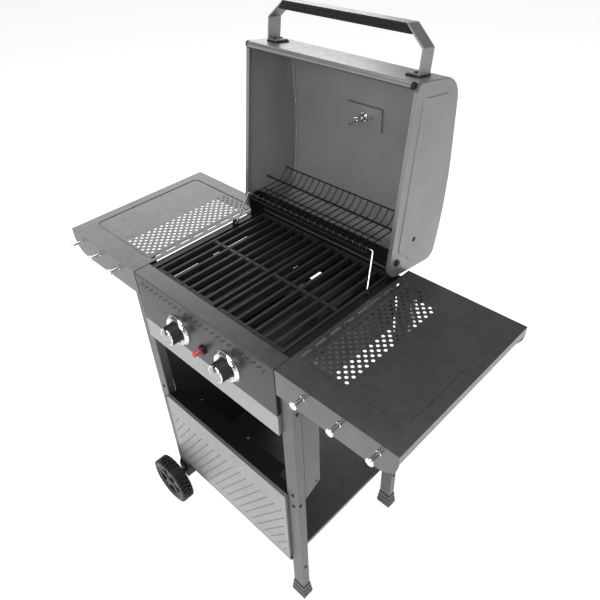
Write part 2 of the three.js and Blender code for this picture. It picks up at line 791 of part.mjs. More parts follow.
function wingNut() {
  const under = -THIN / 2 - GAP - PLATE.depth - GAP;
  const nut = join(
    rod([0, 0, under - 6], [0, 0, under], 9, 12),
    block([-17, -1.5, under - 12], [17, 1.5, under - 2]),
  );
  return onPlate(cut(nut, rod([0, 0, under - 13], [0, 0, under + 1], 5.4, 12)));
}

function buildLid() {
  paint("lid_shell", lidShell(), COLOUR.grey, lid);
  for (const side of SIDES) paint(`lid_end_${side}`, handed(side, lidEnd()), COLOUR.grey, lid);
  paint("lid_lip", lidLip(), COLOUR.grey, lid);
  add("handle_bar", handleBar(), COLOUR.grey, 0.4, 0.7, lid);
  plastic("handle_grip", handleGrip(), lid);
  paint("gauge_pan", gaugePan(), COLOUR.grey, lid);
  chrome("thermometer", thermometer(), lid);
  chrome("wing_nut", wingNut(), lid);
}

// ---------------------------------------------------------------- warming rack and its arms
// Bent wires side by side on cross rods; the lower rear rod is the pivot in the lid's end panels.
function warmingRack() {
  const { frontY, frontZ, pivotY, pivotZ, half, wires, wire } = RACK;
  const bed = frontZ + 3;
  const run = [[frontY - 3, bed - 14], [frontY - 3, bed - 3], [frontY, bed], [pivotY + 4, bed - 2],
    [pivotY + 12, bed + 4], [pivotY + 20, bed + 20], [pivotY + 26, bed + 24]];
  const spacing = (2 * half - 6) / (wires - 1);
  const bent = Array.from({ length: wires }, (_, index) => {
    const x = -half + 3 + index * spacing;
    return prismX(strip(run, wire), x - wire / 2, x + wire / 2);
  });
  return join(
    rod([-half, frontY, frontZ], [half, frontY, frontZ], 2, 8),
    rod([-LID.half - 0.6, pivotY, pivotZ], [LID.half + 0.6, pivotY, pivotZ], 2.4, 8),
    rod([-half, pivotY + 24, bed + 25], [half, pivotY + 24, bed + 25], 2, 8),
    ...bent,
  );
}

// Bent rod from a lug on the firebox up to the rack's front corner.
function swingArm() {
  const { baseX, baseY, baseZ, topX, radius } = ARM;
  const top = [RACK.frontY, RACK.frontZ];
  const lower = [baseX, baseY, baseZ];
  const upper = [topX, ...top];
  const cap = (at) => new THREE.IcosahedronGeometry(radius, 1).translate(...at);
  return join(
    rod([212.5, baseY, baseZ], lower, radius, 8),
    cap(lower),
    rod(lower, upper, radius, 8),
    cap(upper),
    rod(upper, [RACK.half + 3, ...top], radius, 8),
  );
}

function buildRack() {
  add("warming_rack", warmingRack(), COLOUR.iron, 0.4, 0.6);
  for (const side of SIDES) chrome(`swing_arm_${side}`, handed(side, swingArm()));
}

buildCart();
buildTables();
buildFirebox();
buildLid();
buildRack();
barbecue.position.y = -MID_DEPTH;

export default barbecue;
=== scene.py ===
"""Looks of the gas barbecue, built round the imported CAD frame. Lengths in the code are millimetres."""

import json
import math

import bmesh
import bpy
from mathutils import Matrix, Vector

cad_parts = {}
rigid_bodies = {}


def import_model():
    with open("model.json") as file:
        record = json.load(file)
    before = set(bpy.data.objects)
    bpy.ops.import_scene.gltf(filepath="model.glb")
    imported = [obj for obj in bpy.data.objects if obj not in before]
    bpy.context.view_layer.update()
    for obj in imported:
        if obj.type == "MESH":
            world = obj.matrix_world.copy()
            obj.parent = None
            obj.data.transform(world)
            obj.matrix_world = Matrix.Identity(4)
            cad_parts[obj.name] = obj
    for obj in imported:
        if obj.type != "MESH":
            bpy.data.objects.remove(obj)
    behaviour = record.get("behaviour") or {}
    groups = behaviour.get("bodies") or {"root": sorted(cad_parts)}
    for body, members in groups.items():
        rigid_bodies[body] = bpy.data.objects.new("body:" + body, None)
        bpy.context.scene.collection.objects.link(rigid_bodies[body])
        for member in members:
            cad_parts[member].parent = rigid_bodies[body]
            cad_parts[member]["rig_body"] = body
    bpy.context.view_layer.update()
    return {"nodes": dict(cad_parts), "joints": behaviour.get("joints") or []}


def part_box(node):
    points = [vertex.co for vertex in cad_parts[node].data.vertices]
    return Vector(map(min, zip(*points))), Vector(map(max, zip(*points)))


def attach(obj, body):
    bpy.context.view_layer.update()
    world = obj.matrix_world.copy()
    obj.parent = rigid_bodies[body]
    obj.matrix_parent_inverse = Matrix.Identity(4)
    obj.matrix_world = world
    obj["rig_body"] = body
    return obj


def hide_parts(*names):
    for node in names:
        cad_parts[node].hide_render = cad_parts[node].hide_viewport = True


MM = 0.001

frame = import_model()

CAMERA_PLACE = (0.7836, -0.7123, 1.5923)
CAMERA_LOOK = (-0.5576, 0.5443, -0.6267)
CAMERA_ROLL = -2.473
CAMERA_LENS = 34.7

SIDES = {"left": -1, "right": 1}

# heights of the screws in the legs, and where the bolts of the front brace stand along it
FACE_SCREWS = (458, 416)
BRACKET_SCREW = 429
SHELF_SCREW = 145
BACK_SCREW = 449
TABLE_SCREW = 735
BRACE_BOLTS = (-146, 39)

BAND_HEIGHT = 58  # the light band along the bottom of the control panel
GRAIN_STRENGTH = 0.08
INWARD = 0.02  # how far, in metres, a face's plane clears the lid's middle to count as inside


# ------------------------------------------------------------------ camera and studio
def make_camera():
    data = bpy.data.cameras.new("camera")
    data.lens = CAMERA_LENS
    data.clip_end = 60
    camera = bpy.data.objects.new("camera", data)
    bpy.context.scene.collection.objects.link(camera)
    forward = Vector(CAMERA_LOOK).normalized()
    level = forward.cross(Vector((0, 0, 1))).normalized()
    rise = level.cross(forward)
    roll = math.radians(CAMERA_ROLL)
    right = level * math.cos(roll) + rise * math.sin(roll)
    up = right.cross(forward)
    turn = Matrix((right, up, -forward)).transposed().to_4x4()
    camera.matrix_world = Matrix.Translation(CAMERA_PLACE) @ turn
    bpy.context.scene.camera = camera


def make_floor():
    bm = bmesh.new()
    bmesh.ops.create_circle(bm, cap_ends=True, radius=25, segments=96)
    mesh = bpy.data.meshes.new("floor")
    bm.to_mesh(mesh)
    bm.free()
    floor = bpy.data.objects.new("floor", mesh)
    floor.location.z = -0.0005
    bpy.context.scene.collection.objects.link(floor)
    material, _, shader = new_material("studio_floor")
    shader.inputs["Base Color"].default_value = (0.5, 0.5, 0.5, 1)
    shader.inputs["Emission Color"].default_value = (1, 1, 1, 1)
    shader.inputs["Emission Strength"].default_value = 0.8
    shader.inputs["Roughness"].default_value = 0.9
    shader.inputs["Specular IOR Level"].default_value = 0.1
    mesh.materials.append(material)


def add_softbox(name, place, target, width, height, power):
    data = bpy.data.lights.new(name, "AREA")
    data.shape = "RECTANGLE"
    data.size = width
    data.size_y = height
    data.energy = power
    light = bpy.data.objects.new(name, data)
    aim = Vector(target) - Vector(place)
    light.location = place
    light.rotation_euler = aim.to_track_quat("-Z", "Y").to_euler()
    bpy.context.scene.collection.objects.link(light)


def make_world():
    """A pale horizon under a dimmer ceiling."""
    world = bpy.data.worlds.new("studio")
    world.use_nodes = True
    tree = world.node_tree
    background = tree.nodes["Background"]
    coordinates = tree.nodes.new("ShaderNodeTexCoord")
    parts = tree.nodes.new("ShaderNodeSeparateXYZ")
    ramp = tree.nodes.new("ShaderNodeValToRGB")
    ramp.color_ramp.elements[0].position = 0.04
    ramp.color_ramp.elements[0].color = (0.9, 0.9, 0.9, 1)
    ramp.color_ramp.elements[1].position = 0.2
    ramp.color_ramp.elements[1].color = (0.2, 0.2, 0.2, 1)
    tree.links.new(coordinates.outputs["Generated"], parts.inputs["Vector"])
    tree.links.new(parts.outputs["Z"], ramp.inputs["Fac"])
    tree.links.new(ramp.outputs["Color"], background.inputs["Color"])
    bpy.context.scene.world = world


def make_studio():
    bpy.context.scene.view_settings.view_transform = "Standard"
    make_world()
    make_floor()
    add_softbox("overhead", (0.4, -0.6, 4.2), (0, 0, 0.6), 3.4, 3.4, 150)
    add_softbox("back_left", (-2.8, 1.9, 2.35), (-0.2, 0.1, 0.95), 3.2, 1.8, 44)
    add_softbox("front_left", (-2.2, -3.4, 1.6), (0, 0, 0.6), 2.2, 2.2, 3)
    add_softbox("front_right", (1.2, -3.0, 2.4), (0, 0.25, 1.0), 1.8, 1.8, 95)
    add_softbox("right", (3.6, -0.4, 1.8), (0, 0, 0.8), 2.2, 2.2, 30)


# ------------------------------------------------------------------ materials
def new_material(name):
    material = bpy.data.materials.new(name)
    material.use_nodes = True
    tree = material.node_tree
    return material, tree, tree.nodes["Principled BSDF"]


def noise(tree, scale, detail=3.0, stretch=(1, 1, 1)):
    """Noise fixed to the piece; scale is in features per metre."""
    coordinates = tree.nodes.new("ShaderNodeTexCoord")
    mapping = tree.nodes.new("ShaderNodeMapping")
    mapping.inputs["Scale"].default_value = stretch
    texture = tree.nodes.new("ShaderNodeTexNoise")
    texture.inputs["Scale"].default_value = scale
    texture.inputs["Detail"].default_value = detail
    tree.links.new(coordinates.outputs["Object"], mapping.inputs["Vector"])
    tree.links.new(mapping.outputs["Vector"], texture.inputs["Vector"])
    return texture.outputs["Fac"]


def spread(tree, value, low, high):
    """Noise in its usual range mapped to low..high."""
    node = tree.nodes.new("ShaderNodeMapRange")
    node.inputs["From Min"].default_value = 0.3
    node.inputs["From Max"].default_value = 0.7
    node.inputs["To Min"].default_value = low
    node.inputs["To Max"].default_value = high
    tree.links.new(value, node.inputs["Value"])
    return node.outputs["Result"]


def between(tree, factor, first, second):
    node = tree.nodes.new("ShaderNodeMix")
    node.data_type = "RGBA"
    node.inputs["A"].default_value = (*first, 1)
    node.inputs["B"].default_value = (*second, 1)
    tree.links.new(factor, node.inputs["Factor"])
    return node.outputs["Result"]


def bumped(tree, height, strength, depth):
    node = tree.nodes.new("ShaderNodeBump")
    node.inputs["Strength"].default_value = strength
    node.inputs["Distance"].default_value = depth * MM
    tree.links.new(height, node.inputs["Height"])
    return node.outputs["Normal"]


def finish_material(
    name,
    slot,
    colour,
    roughness,
    metallic=0.0,
    mottle=0.06,
    grain=500,
    relief=0.03,
    stretch=(1, 1, 1),
    **constants,
):
    """A surface with faint mottling, uneven gloss and a fine grain in relief."""
    material, tree, shader = new_material(name)
    material["slot"] = slot
    darker = [c * (1 - mottle) for c in colour]
    lighter = [c * (1 + mottle) for c in colour]
    mottling = spread(tree, noise(tree, 14, 4, stretch), 0, 1)
    tree.links.new(between(tree, mottling, darker, lighter), shader.inputs["Base Color"])
    gloss = spread(tree, noise(tree, 60, 3, stretch), roughness * 0.88, roughness * 1.12)
    tree.links.new(gloss, shader.inputs["Roughness"])
    texture = bumped(tree, noise(tree, grain, 2, stretch), GRAIN_STRENGTH, relief)
    tree.links.new(texture, shader.inputs["Normal"])
    shader.inputs["Metallic"].default_value = metallic
    for socket, value in constants.items():
        shader.inputs[socket.replace("_", " ")].default_value = value
    return material


def control_panel_material():
    """Grey metallic coat with a lighter band along the bottom."""
    material = finish_material("panel_coat", "panel_coat", (0.028, 0.027, 0.028), 0.32, 0.7)
    tree = material.node_tree
    shader = tree.nodes["Principled BSDF"]
    plain = shader.inputs["Base Color"].links[0].from_socket
    coordinates = tree.nodes.new("ShaderNodeTexCoord")
    parts = tree.nodes.new("ShaderNodeSeparateXYZ")
    step = tree.nodes.new("ShaderNodeMath")
    step.operation = "GREATER_THAN"
    step.inputs[1].default_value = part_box("control_panel")[0].z + BAND_HEIGHT * MM
    mix = tree.nodes.new("ShaderNodeMix")
    mix.data_type = "RGBA"
    mix.inputs["A"].default_value = (0.26, 0.26, 0.264, 1)
    tree.links.new(coordinates.outputs["Object"], parts.inputs["Vector"])
    tree.links.new(parts.outputs["Z"], step.inputs[0])
    tree.links.new(step.outputs["Value"], mix.inputs["Factor"])
    tree.links.new(plain, mix.inputs["B"])
    tree.links.new(mix.outputs["Result"], shader.inputs["Base Color"])
    return material


def make_materials():
    brushed = (1, 1, 30)
    return {
        "lid": finish_material("lid_coat", "grey_coat", (0.22, 0.22, 0.224), 0.36, 0.75),
        # painted shade: the lid's grey coat made darker and duller for the faces inside the lid's hollow
        "inside_shade": finish_material("lid_inside_shade", "grey_coat", (0.16, 0.16, 0.162), 0.42, 0.12),
        "tamer": finish_material(
            "heated_steel", "stainless", (0.03, 0.029, 0.028), 0.35, 0.9, 0.2, 300, 0.05
        ),
        "frame": finish_material("frame_coat", "grey_coat", (0.082, 0.081, 0.083), 0.36, 0.75),
        "table": finish_material("table_coat", "table_coat", (0.115, 0.113, 0.112), 0.3, 0.85),
        "panel": control_panel_material(),
        "silver": finish_material("silver_coat", "silver_sheet", (0.24, 0.238, 0.24), 0.36, 0.7),
        "enamel": finish_material(
            "enamel", "black_enamel", (0.005, 0.005, 0.0055), 0.35, grain=300, Specular_IOR_Level=0.25
        ),
        "iron": finish_material(
            "cast_iron", "cast_iron", (0.011, 0.011, 0.012), 0.5, 0, 0.2, 700, 0.4,
            Specular_IOR_Level=0.3,
        ),
        "wire": finish_material("wire_enamel", "black_enamel", (0.004, 0.004, 0.0045), 0.22),
        "chrome": finish_material(
            "chrome", "polished", (0.64, 0.64, 0.65), 0.09, 1.0, 0.03, 60, 0.02
        ),
        "stainless": finish_material(
            "stainless", "stainless", (0.52, 0.52, 0.53), 0.3, 1.0, 0.1, 300, 0.04, brushed
        ),
        "brass": finish_material("brass", "brass", (0.62, 0.43, 0.18), 0.28, 1.0, 0.08),
        "plastic": finish_material(
            "black_plastic", "black_plastic", (0.009, 0.009, 0.0095), 0.4, 0, 0.1, 900, 0.1,
            Specular_IOR_Level=0.2,
        ),
        "foot": finish_material(
            "grey_plastic", "black_plastic", (0.06, 0.06, 0.062), 0.45, 0, 0.08, 900, 0.1,
            Specular_IOR_Level=0.3,
        ),
        "red": finish_material(
            "red_plastic", "red_plastic", (0.36, 0.003, 0.012), 0.3, Coat_Weight=0.2
        ),
        "face": finish_material(
            "brushed_face", "polished", (0.3, 0.3, 0.303), 0.32, 0.9, 0.05, 200, 0.03, brushed
        ),
        "white": finish_material("dial_white", "polished", (0.8, 0.8, 0.78), 0.5, mottle=0.02),
    }


# ------------------------------------------------------------------ mesh helpers
def body_of(node):
    return frame["nodes"][node]["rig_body"]


def bounds_mm(node):
    low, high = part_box(node)
    return low / MM, high / MM


def shade(mesh, angle=32):
    mesh.shade_smooth()
    mesh.set_sharp_from_angle(angle=math.radians(angle))


def add_piece(name, mesh, material, body, replaces=()):
    piece = bpy.data.objects.new(name, mesh)
    bpy.context.scene.collection.objects.link(piece)
    if not mesh.materials:
        mesh.materials.append(material)
    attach(piece, body)
    if replaces:
        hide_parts(*replaces)
    return piece


def to_mesh(name, bm, angle=32):
    """Closes a bmesh in millimetres into a mesh in metres with its faces pointing out."""
    bmesh.ops.remove_doubles(bm, verts=bm.verts, dist=0.01)
    bmesh.ops.recalc_face_normals(bm, faces=bm.faces)
    bmesh.ops.scale(bm, vec=(MM, MM, MM), verts=bm.verts)
    mesh = bpy.data.meshes.new(name)
    bm.to_mesh(mesh)
    bm.free()
    shade(mesh, angle)
    return mesh


def bevelled(piece, width, segments=2, angle=30):
    modifier = piece.modifiers.new("edges", "BEVEL")
    modifier.width = width * MM
    modifier.segments = segments
    modifier.limit_method = "ANGLE"
    modifier.angle_limit = math.radians(angle)
    modifier.harden_normals = True
    return piece


def refined(node, material, bevel=0.0, segments=2):
    """The CAD node's own shape with flat faces made whole, soft edges and smooth curves."""
    bm = bmesh.new()
    bm.from_mesh(frame["nodes"][node].data)
    bmesh.ops.remove_doubles(bm, verts=bm.verts, dist=0.02 * MM)
    bmesh.ops.dissolve_limit(
        bm, angle_limit=math.radians(0.5), verts=bm.verts, edges=bm.edges
    )
    mesh = bpy.data.meshes.new(node + "_finish")
    bm.to_mesh(mesh)
    bm.free()
    shade(mesh)
    piece = add_piece(node + "_finish", mesh, material, body_of(node), [node])
    if bevel:
        bevelled(piece, bevel, segments)
    return piece


def pierced(piece, cutters, wall=None):
    """Cuts a mesh of loose solids out of the piece; the cut edges may take another material, which the
    callers use for black hole walls as painted shade.
    """
    if wall:
        cutters.materials.append(wall)
    tool = bpy.data.objects.new("tool", cutters)
    bpy.context.scene.collection.objects.link(tool)
    modifier = piece.modifiers.new("holes", "BOOLEAN")
    modifier.object = tool
    modifier.solver = "EXACT"
    modifier.material_mode = "TRANSFER" if wall else "INDEX"
    graph = bpy.context.evaluated_depsgraph_get()
    mesh = bpy.data.meshes.new_from_object(piece.evaluated_get(graph))
    piece.modifiers.clear()
    piece.data = mesh
    bpy.data.objects.remove(tool)
    shade(mesh)
    flats = piece.modifiers.new("flats", "WEIGHTED_NORMAL")
    flats.keep_sharp = True
    return piece


def ring(bm, radius, along, segments):
    if radius == 0:
        return [bm.verts.new((0, 0, along))]
    steps = [2 * math.pi * i / segments for i in range(segments)]
    return [bm.verts.new((radius * math.cos(a), radius * math.sin(a), along)) for a in steps]


def bridge(bm, first, second):
    count = max(len(first), len(second))
    for i in range(count):
        j = (i + 1) % count
        corners = [first[i % len(first)], first[j % len(first)]]
        corners += [second[j % len(second)], second[i % len(second)]]
        bm.faces.new(list(dict.fromkeys(corners)))


def placed(bm, place, direction):
    """Turns +Z of the bmesh to the direction and moves it to its place."""
    turn = Vector((0, 0, 1)).rotation_difference(Vector(direction)).to_matrix().to_4x4()
    bm.transform(Matrix.Translation(place) @ turn)


def turned(name, profile, place, direction, segments=48, closed=False):
    """Solid of revolution from (radius, distance along the direction) points."""
    bm = bmesh.new()
    rings = [ring(bm, radius, along, segments) for radius, along in profile]
    pairs = list(zip(rings, rings[1:]))
    if closed:
        pairs.append((rings[-1], rings[0]))
    for first, second in pairs:
        bridge(bm, first, second)
    placed(bm, place, direction)
    return to_mesh(name, bm)


AXIS_ORDER = {"x": (2, 0, 1), "y": (0, 2, 1), "z": (0, 1, 2)}


def add_prism(bm, outline, low, high, axis):
    """Adds a prism of a (u, v) outline along an axis: u, v are y, z or x, z or x, y."""

    def corner(u, v, w):
        values = (u, v, w)
        return bm.verts.new([values[i] for i in AXIS_ORDER[axis]])

    base = [corner(u, v, low) for u, v in outline]
    top = [corner(u, v, high) for u, v in outline]
    bm.faces.new(base)
    bm.faces.new(top)
    bridge(bm, base, top)


def prism(name, outline, low, high, axis):
    bm = bmesh.new()
    add_prism(bm, outline, low, high, axis)
    return to_mesh(name, bm)


def arc(u, v, radius, start, end, steps):
    angles = [math.radians(start + (end - start) * i / steps) for i in range(steps + 1)]
    return [(u + radius * math.cos(a), v + radius * math.sin(a)) for a in angles]


def rounded(u0, v0, u1, v1, radius, steps=4):
    return [
        *arc(u1 - radius, v1 - radius, radius, 0, 90, steps),
        *arc(u0 + radius, v1 - radius, radius, 90, 180, steps),
        *arc(u0 + radius, v0 + radius, radius, 180, 270, steps),
        *arc(u1 - radius, v0 + radius, radius, 270, 360, steps),
    ]


def filleted(points, radius, steps=4):
    """The polyline with each inner corner rounded off."""
    points = [Vector(p) for p in points]
    path = [points[0]]
    for before, corner, after in zip(points, points[1:], points[2:]):
        reach = min(radius, (before - corner).length / 2, (after - corner).length / 2)
        start = corner + (before - corner).normalized() * reach
        end = corner + (after - corner).normalized() * reach
        for i in range(steps + 1):
            t = i / steps
            path.append(start * (1 - t) ** 2 + corner * 2 * t * (1 - t) + end * t * t)
    path.append(points[-1])
    return path


def add_tube(bm, path, radius, sides=10):
    """Adds a round bar along a smooth path, with closed ends."""
    side = None
    rings = []
    for index, point in enumerate(path):
        before = path[max(index - 1, 0)]
        after = path[min(index + 1, len(path) - 1)]
        along = (after - before).normalized()
        side = side or along.orthogonal()
        side = (side - along * side.dot(along)).normalized()
        other = along.cross(side)
        steps = [2 * math.pi * i / sides for i in range(sides)]
        offsets = [(side * math.cos(a) + other * math.sin(a)) * radius for a in steps]
        rings.append([bm.verts.new(point + offset) for offset in offsets])
    for first, second in zip(rings, rings[1:]):
        bridge(bm, first, second)
    bm.faces.new(rings[0])
    bm.faces.new(rings[-1])


def tube(name, points, radius, bend=0, sides=10):
    bm = bmesh.new()
    path = filleted(points, bend) if bend else [Vector(p) for p in points]
    add_tube(bm, path, radius, sides)
    return to_mesh(name, bm, 50)


# ------------------------------------------------------------------ screws
def cross_cutter(radius):
    bm = bmesh.new()
    arm = radius * 0.62
    half = radius * 0.13
    outline = [(-arm, -half), (arm, -half), (arm, half), (-arm, half)]
    add_prism(bm, outline, radius * 0.2, radius, "z")
    add_prism(bm, [(v, u) for u, v in outline], radius * 0.21, radius, "z")
    return to_mesh("cross", bm)


def make_screw_mesh(radius, material):
    """Pan head with a cross recess, its underside at the origin and +Z out."""
    height = radius * 0.55
    profile = [(0, 0), (radius, 0), (radius, height * 0.35), (radius * 0.9, height * 0.7)]
    profile += [(radius * 0.6, height * 0.94), (0, height)]
    mesh = turned("screw", profile, (0, 0, 0), (0, 0, 1), 24)
    mesh.materials.append(material)
    head = bpy.data.objects.new("screw_head", mesh)
    bpy.context.scene.collection.objects.link(head)
    pierced(head, cross_cutter(radius))
    done = head.data
    bpy.data.objects.remove(head)
    return done


def add_screws(name, places, direction, mesh, body):
    turn = Vector((0, 0, 1)).rotation_difference(Vector(direction)).to_matrix().to_4x4()
    for index, place in enumerate(places):
        piece = bpy.data.objects.new(f"{name}_{index + 1}", mesh)
        bpy.context.scene.collection.objects.link(piece)
        piece.matrix_world = Matrix.Translation(Vector(place) * MM) @ turn
        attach(piece, body)


# ------------------------------------------------------------------ cart
def make_legs():
    for end in ("front", "rear"):
        for side in SIDES:
            refined(f"leg_{end}_{side}", MATERIAL["frame"], 1.6, 3)
    for side, sign in SIDES.items():
        refined(f"side_bracket_{side}", MATERIAL["frame"], 0.5)
        make_leg_screws(side, sign)


def make_leg_screws(side, sign):
    """Screws through a front leg's face and both legs' outer sides."""
    low, high = bounds_mm(f"leg_front_{side}")
    back_low, back_high = bounds_mm(f"leg_rear_{side}")
    middle = (low.x + high.x) / 2
    face = [(middle, low.y, height) for height in FACE_SCREWS]
    outer = high.x if sign > 0 else low.x
    front = (low.y + high.y) / 2
    back = (back_low.y + back_high.y) / 2
    flank = [(outer, front - 5, BRACKET_SCREW)]
    flank += [(outer, front, height) for height in (SHELF_SCREW, TABLE_SCREW)]
    flank += [(outer, back, height) for height in (SHELF_SCREW, BACK_SCREW, TABLE_SCREW)]
    add_screws(f"leg_screw_{side}", face, (0, -1, 0), SCREW, "cart")
    add_screws(f"side_screw_{side}", flank, (sign, 0, 0), SCREW, "cart")
    rear_face = [(middle, back_high.y, height) for height in (FACE_SCREWS[0], SHELF_SCREW)]
    add_screws(f"back_screw_{side}", rear_face, (0, 1, 0), SCREW, "cart")


def make_feet():
    """Feet with two dark seams each, and the caps that hold the axle."""
    for end in ("front", "rear"):
        node = f"foot_{end}"
        refined(node, MATERIAL["foot"], 1.2, 3)
        low, high = bounds_mm(node)
        for index, (height, inset) in enumerate(((15, 1.0), (30, 2.4))):
            outline = rounded(
                low.x + inset, low.y + inset, high.x - inset, high.y - inset, 2
            )
            seam = prism("seam", outline, height - 0.7, height + 0.7, "z")
            add_piece(f"{node}_seam_{index + 1}", seam, MATERIAL["plastic"], "cart")
        refined(f"axle_bracket_{end}", MATERIAL["plastic"], 1.5, 3)
    refined("wheel_axle", MATERIAL["enamel"])


def add_spoke(bm, angle, inner, outer, low, high):
    """Adds one tapering spoke, its length along the angle round the hub."""
    along = (math.cos(angle), math.sin(angle))
    across = (-along[1], along[0])
    half_in, half_out = 6.5, 13
    outline = []
    for radius, half in ((inner, -half_in), (outer, -half_out), (outer, half_out), (inner, half_in)):
        u = along[0] * radius + across[0] * half
        v = along[1] * radius + across[1] * half
        outline.append((u, v))
    add_prism(bm, outline, low, high, "y")


def add_lugs(bm, radius, low, high, count, lean):
    """Adds a row of tread blocks that lean across the tyre's shoulder."""
    lug_depth = 5.6
    width = math.pi / count
    for index in range(count):
        start = 2 * math.pi * index / count
        corners = []
        for along, shift in ((low, 0), (high, lean)):
            for angle in (start + shift, start + shift + width):
                corners.append((angle, along))
        loops = []
        for reach in (radius - lug_depth, radius):
            loop = [
                bm.verts.new((reach * math.cos(a), y, reach * math.sin(a)))
                for a, y in (corners[0], corners[1], corners[3], corners[2])
            ]
            bm.faces.new(loop)
            loops.append(loop)
        bridge(bm, *loops)


def make_wheel(end):
    """Tyre with two rows of tread blocks, a rim, a hub and five spokes."""
    node = f"wheel_{end}"
    low, high = bounds_mm(node)
    centre = Vector(((low.x + high.x) / 2, 0, (low.z + high.z) / 2))
    middle = (low.y + high.y) / 2
    half = (high.y - low.y) / 2
    radius = (high.z - low.z) / 2
    tread = radius - 5
    tyre = [
        (56, -half + 1.5), (60, -half), (67, -half + 0.6), (tread, -half + 4.5), (tread, 0),
        (tread, half - 4.5), (67, half - 0.6), (60, half), (56, half - 1.5), (53, half - 4),
        (53, -half + 4),
    ]
    place = (centre.x, middle, centre.z)
    mesh = turned("tyre", tyre, place, (0, 1, 0), 72, closed=True)
    add_piece(f"{node}_tyre", mesh, MATERIAL["plastic"], body_of(node), [node])
    bm = bmesh.new()
    lugs_per_row, lean = 32, 0.07
    add_lugs(bm, radius, -half + 2.6, -1.6, lugs_per_row, lean)
    add_lugs(bm, radius, 1.6, half - 2.6, lugs_per_row, -lean)
    bmesh.ops.translate(bm, vec=place, verts=bm.verts)
    lugs = add_piece(f"{node}_tread", to_mesh("tread", bm), MATERIAL["plastic"], body_of(node))
    bevelled(lugs, 0.5, 1)
    face = half - 2
    hub = [(5.6, -face), (14, -face), (18, 3 - face), (18, face - 3), (14, face), (5.6, face)]
    mesh = turned("hub", hub, place, (0, 1, 0), 36, closed=True)
    add_piece(f"{node}_hub", mesh, MATERIAL["plastic"], body_of(node))
    rim = [
        (45, 2 - face), (49, -face), (51.5, -face), (53.2, 2 - face), (53.2, face - 2),
        (51.5, face), (49, face), (45, face - 2),
    ]
    mesh = turned("rim", rim, place, (0, 1, 0), 72, closed=True)
    add_piece(f"{node}_rim", mesh, MATERIAL["plastic"], body_of(node))
    bm = bmesh.new()
    spoke_count = 5
    for index in range(spoke_count):
        angle = 2 * math.pi * index / spoke_count + math.pi / 2
        add_spoke(bm, angle, 15, 47, 3 - face, face - 3)
    bmesh.ops.translate(bm, vec=place, verts=bm.verts)
    spokes = add_piece(f"{node}_spokes", to_mesh("spokes", bm), MATERIAL["plastic"], body_of(node))
    bevelled(spokes, 1.5, 2)


def make_front_panel():
    """Silver sheet with slanting rows of small upright slits."""
    piece = refined("front_panel", MATERIAL["silver"], 1.0)
    low, high = bounds_mm("front_panel")
    bm = bmesh.new()
    row_pitch, slits, step_x, step_z = 24.8, 14, 9.3, 13.2
    margin = 10
    slit = [(-2.2, -2), (0, -3), (1.9, -2), (2.2, 2), (0, 3), (-1.9, 2)]
    first, bottom = low.x + 36, low.z + 27
    for row in range(-5, 17):
        start = first + row * row_pitch
        for index in range(slits):
            x = start + index * step_x
            z = bottom + index * step_z
            if low.x + margin < x < high.x - margin:
                outline = [(x + u, z + v) for u, v in slit]
                add_prism(bm, outline, low.y - 2, low.y + 4, "y")
    # black enamel on the slits' cut walls is painted shade inside the slits
    pierced(piece, to_mesh("slits", bm), MATERIAL["enamel"])


def make_cart():
    make_legs()
    make_feet()
    make_wheel("front")
    make_wheel("rear")
    make_front_panel()
    refined("bottom_shelf", MATERIAL["table"], 1.0)
    refined("front_brace", MATERIAL["enamel"], 0.6)
    refined("side_panel_left", MATERIAL["enamel"], 0.5)
    top = bounds_mm("front_brace")[1]
    bolts = [(x, top.y - 5, top.z) for x in BRACE_BOLTS]
    add_screws("brace_bolt", bolts, (0, 0, 1), BRIGHT_SCREW, "cart")


# ------------------------------------------------------------------ side tables
def add_channel(bm, outer, inner, low, high):
    """Adds a closed ring of square section between two outlines of as many points."""
    loops = []
    for outline, height in ((outer, low), (outer, high), (inner, high), (inner, low)):
        loops.append([bm.verts.new((x, y, height)) for x, y in outline])
    for first, second in zip(loops, loops[1:] + loops[:1]):
        bridge(bm, first, second)


def table_perforations(sign, middle, top):
    """Staggered columns of round holes over the part of the table next to the firebox."""
    bm = bmesh.new()
    columns, column_pitch, outermost = 10, 9, 341
    rows, row_pitch, hole = 17, 18.3, 3.75
    first_even, first_odd, last = -137.4, -128.2, 158
    for column in range(columns):
        x = sign * (outermost - column_pitch * column)
        first = first_even if column % 2 == 0 else first_odd
        for row in range(rows):
            y = middle + first + row_pitch * row
            if y < middle + last:
                outline = [(x + u, y + v) for u, v in arc(0, 0, hole, 0, 337.5, 15)]
                add_prism(bm, outline, top - 6, top + 2, "z")
    return to_mesh("holes", bm)


def table_groove(sign, middle, top):
    """The pressed line round the field of the table."""
    bm = bmesh.new()
    inner, outer = sorted((sign * 247, sign * 474))
    front, rear = middle - 148, middle + 166
    corner = 12
    wide, narrow = (
        rounded(inner - out, front - out, outer + out, rear + out, corner + out)
        for out in (1.4, 0.4)
    )
    add_channel(bm, wide, narrow, top - 1, top + 1)
    return to_mesh("groove", bm)


def make_table(side, sign):
    node = f"side_table_{side}"
    low, high = bounds_mm(node)
    middle = (low.y + high.y) / 2
    piece = refined(node, MATERIAL["table"], 0.9, 2)
    # black enamel on the holes' cut walls is painted shade inside the holes
    pierced(piece, table_perforations(sign, middle, high.z), MATERIAL["enamel"])
    pierced(piece, table_groove(sign, middle, high.z))
    for index in range(3):
        make_hook(f"tool_hook_{side}_{index + 1}")


def make_hook(node):
    low, high = bounds_mm(node)
    place = ((low.x + high.x) / 2, high.y, (low.z + high.z) / 2)
    length = high.y - low.y
    profile = [
        (0, 0), (5.5, 0), (5.5, 1.2), (4, 2), (4, length - 5), (5, length - 3.6),
        (7.6, length - 3.2), (8.4, length - 2.4), (8.2, length - 1.2), (6.8, length - 0.4),
        (4.4, length), (0, length),
    ]
    mesh = turned("hook", profile, place, (0, -1, 0), 36)
    add_piece(node + "_finish", mesh, MATERIAL["chrome"], "cart", [node])


